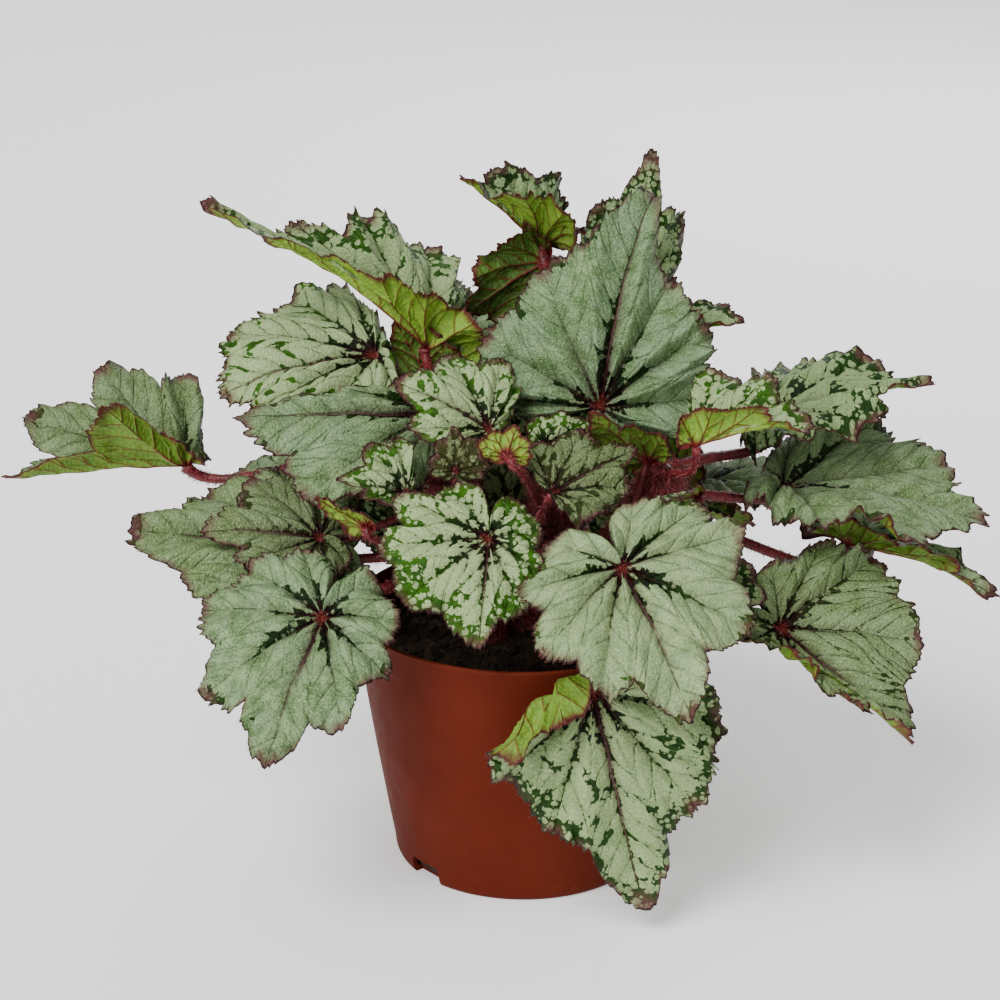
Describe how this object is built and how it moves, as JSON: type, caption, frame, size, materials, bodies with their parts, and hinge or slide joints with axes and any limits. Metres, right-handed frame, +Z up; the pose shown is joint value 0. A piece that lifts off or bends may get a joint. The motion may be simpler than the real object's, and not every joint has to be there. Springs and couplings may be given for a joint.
{
  "type": "potted rex begonia",
  "caption": "Bushy rex begonia with lobed, waved silver leaves on crimson stalks, growing from soil in a tapered plastic nursery pot; a house plant for a shelf or table.",
  "frame": {"origin": "middle of the pot's flat underside", "axes": "+Z up; the side of the plant that the picture shows looks towards -Y, and +X is to its right"},
  "size_m": [0.3367, 0.2153, 0.2369],
  "materials": {
    "pot": "terracotta-brown moulded plastic with a soft sheen",
    "soil": "dark, crumbly, moist peat soil",
    "stem": "crimson, juicy and covered in fine hairs",
    "leaf": "silver-green with darker veins and a thin reddish edge, with a soft metallic sheen"
  },
  "bodies": {
    "root": {"pot": "pot", "soil": "soil", "stems_left": "stem", "stems_middle": "stem", "stems_right": "stem", "leaf_front_left": "leaf", "leaf_front_middle": "leaf", "leaf_front_right": "leaf", "leaf_hanging": "leaf", "leaf_far_left": "leaf", "leaf_top_left": "leaf", "leaf_left_upper": "leaf", "leaf_left_silver": "leaf", "leaf_left_small": "leaf", "leaf_left_middle": "leaf", "leaf_left_low": "leaf", "leaf_top": "leaf", "leaf_top_back": "leaf", "leaf_top_middle": "leaf", "leaf_right_top_small": "leaf", "leaf_right_upper": "leaf", "leaf_right_upper_back": "leaf", "leaf_right_silver": "leaf", "leaf_right_folded": "leaf", "leaf_right_low": "leaf", "leaf_right_small": "leaf", "leaf_middle_yellow": "leaf", "leaf_middle_feathered": "leaf", "leaf_middle_dark": "leaf", "leaf_middle_pale": "leaf", "leaf_middle_veined": "leaf", "leaf_middle_underside": "leaf", "leaf_middle_right": "leaf", "leaf_back_left_low": "leaf", "leaf_back_left": "leaf", "leaf_back_middle": "leaf", "leaf_back_right": "leaf", "leaf_back_right_low": "leaf", "leaf_back_low_left": "leaf", "leaf_back_low_right": "leaf", "leaf_back_hanging": "leaf"}
  },
  "joints": []
}
